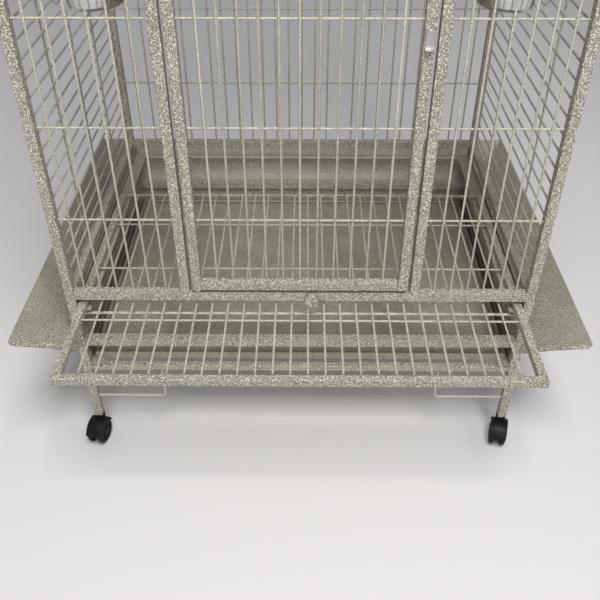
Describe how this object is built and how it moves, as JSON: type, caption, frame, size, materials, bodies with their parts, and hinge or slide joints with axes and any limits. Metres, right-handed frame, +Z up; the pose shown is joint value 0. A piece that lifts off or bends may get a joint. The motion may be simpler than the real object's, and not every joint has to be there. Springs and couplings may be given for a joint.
{
  "type": "dome top bird cage",
  "caption": "Tall metal bird cage with a barrel dome, framed door, pull-out grate and tray, flared seed guards and swivel casters.",
  "frame": {"origin": "on the floor under the middle of the cage body, between the four corner posts", "axes": "+Z up, the front with the door faces -Y, +X to the right seen from the front"},
  "size_m": [0.9766, 0.8533, 1.6759],
  "materials": {
    "frame_coat": "speckled powder coat",
    "wire_coat": "powder coat",
    "sheet_coat": "speckled powder coat",
    "feeder_coat": "speckled powder coat",
    "knob_coat": "powder coat",
    "tray_coat": "powder coat",
    "perch_wood": "plain",
    "fastener_steel": "zinc plated",
    "latch_steel": "zinc plated",
    "cup_steel": "polished",
    "socket_plastic": "moulded",
    "caster_plastic": "moulded",
    "wheel_plastic": "moulded"
  },
  "bodies": {
    "cage_frame": {"corner_posts": "frame_coat", "main_rails": "frame_coat", "shoulder_rails": "frame_coat", "door_jambs": "frame_coat", "feeder_sills": "frame_coat", "front_panel_wires": "wire_coat", "front_cross_wires": "wire_coat", "rear_wall_wires": "wire_coat", "rear_cross_wires": "wire_coat", "left_wall_wires": "wire_coat", "right_wall_wires": "wire_coat", "side_stay_wires": "wire_coat", "dome_front_arch": "frame_coat", "dome_rear_arch": "frame_coat", "dome_end_wires": "wire_coat", "dome_cross_wires": "wire_coat", "dome_roof_wires": "wire_coat", "dome_stay_wires": "wire_coat", "middle_rails": "frame_coat", "bottom_rails": "frame_coat", "base_skirts": "sheet_coat", "grate_runners": "sheet_coat", "tray_runners": "sheet_coat", "leg_braces": "wire_coat", "left_seed_guard": "sheet_coat", "right_seed_guard": "sheet_coat", "rear_seed_guard": "sheet_coat", "guard_screws": "fastener_steel", "caster_sockets": "socket_plastic", "perches": "perch_wood", "perch_fasteners": "fastener_steel", "toy_hook": "wire_coat", "cup_holders": "wire_coat"},
    "main_door": {"door_frame": "frame_coat", "door_wires": "wire_coat", "door_cross_wires": "wire_coat", "door_pivots": "fastener_steel"},
    "door_latch_body": {"door_latch": "latch_steel"},
    "left_feeder": {"left_feeder_door": "feeder_coat"},
    "right_feeder": {"right_feeder_door": "feeder_coat"},
    "left_feeder_latch_body": {"left_feeder_latch": "latch_steel"},
    "right_feeder_latch_body": {"right_feeder_latch": "latch_steel"},
    "left_cup_body": {"left_cup": "cup_steel"},
    "right_cup_body": {"right_cup": "cup_steel"},
    "grate": {"grate_frame": "frame_coat", "grate_wires": "wire_coat", "grate_cross_wires": "wire_coat"},
    "grate_lock_body": {"grate_lock": "knob_coat"},
    "tray_body": {"tray": "tray_coat"},
    "front_left_swivel": {"front_left_caster": "caster_plastic"},
    "front_left_wheel_pair": {"front_left_wheels": "wheel_plastic"},
    "front_right_swivel": {"front_right_caster": "caster_plastic"},
    "front_right_wheel_pair": {"front_right_wheels": "wheel_plastic"},
    "rear_left_swivel": {"rear_left_caster": "caster_plastic"},
    "rear_left_wheel_pair": {"rear_left_wheels": "wheel_plastic"},
    "rear_right_swivel": {"rear_right_caster": "caster_plastic"},
    "rear_right_wheel_pair": {"rear_right_wheels": "wheel_plastic"}
  },
  "joints": [
    {"name": "door_hinge", "type": "hinge", "parent": "cage_frame", "child": "main_door", "pos_m": [-0.176, -0.284, 0.817], "axis": [0, 0, -1], "range_deg": [0, 110]},
    {"name": "door_latch_turn", "type": "hinge", "parent": "main_door", "child": "door_latch_body", "pos_m": [0.176, -0.284, 0.816], "axis": [0, -1, 0], "range_deg": [0, 90]},
    {"name": "left_feeder_hinge", "type": "hinge", "parent": "cage_frame", "child": "left_feeder", "pos_m": [-0.3805, -0.284, 0.96], "axis": [0, 0, -1], "range_deg": [0, 100]},
    {"name": "right_feeder_hinge", "type": "hinge", "parent": "cage_frame", "child": "right_feeder", "pos_m": [0.3805, -0.284, 0.96], "axis": [0, 0, 1], "range_deg": [0, 100]},
    {"name": "left_feeder_latch_turn", "type": "hinge", "parent": "left_feeder", "child": "left_feeder_latch_body", "pos_m": [-0.215, -0.284, 0.96], "axis": [0, -1, 0], "range_deg": [0, 90]},
    {"name": "right_feeder_latch_turn", "type": "hinge", "parent": "right_feeder", "child": "right_feeder_latch_body", "pos_m": [0.215, -0.284, 0.96], "axis": [0, 1, 0], "range_deg": [0, 90]},
    {"name": "left_cup_lift", "type": "slide", "parent": "cage_frame", "child": "left_cup_body", "axis": [0, 0, 1], "range_m": [0, 0.075]},
    {"name": "right_cup_lift", "type": "slide", "parent": "cage_frame", "child": "right_cup_body", "axis": [0, 0, 1], "range_m": [0, 0.075]},
    {"name": "grate_slide", "type": "slide", "parent": "cage_frame", "child": "grate", "axis": [0, -1, 0], "range_m": [-0.1875, 0.3]},
    {"name": "grate_lock_turn", "type": "hinge", "parent": "cage_frame", "child": "grate_lock_body", "pos_m": [0.02, -0.292, 0.361], "axis": [0, 1, 0], "range_deg": [0, 90]},
    {"name": "tray_slide", "type": "slide", "parent": "cage_frame", "child": "tray_body", "axis": [0, -1, 0], "range_m": [0, 0.45]},
    {"name": "front_left_swivel_turn", "type": "hinge", "parent": "cage_frame", "child": "front_left_swivel", "pos_m": [-0.3985, -0.284, 0.056], "axis": [0, 0, 1], "continuous": true},
    {"name": "front_left_wheel_spin", "type": "hinge", "parent": "front_left_swivel", "child": "front_left_wheel_pair", "pos_m": [-0.4012, -0.29672, 0.025], "axis": [0.9781, -0.2079, 0], "continuous": true},
    {"name": "front_right_swivel_turn", "type": "hinge", "parent": "cage_frame", "child": "front_right_swivel", "pos_m": [0.3985, -0.284, 0.056], "axis": [0, 0, 1], "continuous": true},
    {"name": "front_right_wheel_spin", "type": "hinge", "parent": "front_right_swivel", "child": "front_right_wheel_pair", "pos_m": [0.39536, -0.29661, 0.025], "axis": [0.9703, -0.2419, 0], "continuous": true},
    {"name": "rear_left_swivel_turn", "type": "hinge", "parent": "cage_frame", "child": "rear_left_swivel", "pos_m": [-0.3985, 0.284, 0.056], "axis": [0, 0, 1], "continuous": true},
    {"name": "rear_left_wheel_spin", "type": "hinge", "parent": "rear_left_swivel", "child": "rear_left_wheel_pair", "pos_m": [-0.39514, 0.29656, 0.025], "axis": [-0.9659, 0.2588, 0], "continuous": true},
    {"name": "rear_right_swivel_turn", "type": "hinge", "parent": "cage_frame", "child": "rear_right_swivel", "pos_m": [0.3985, 0.284, 0.056], "axis": [0, 0, 1], "continuous": true},
    {"name": "rear_right_wheel_spin", "type": "hinge", "parent": "rear_right_swivel", "child": "rear_right_wheel_pair", "pos_m": [0.39405, 0.29622, 0.025], "axis": [-0.9397, -0.342, 0], "continuous": true}
  ]
}
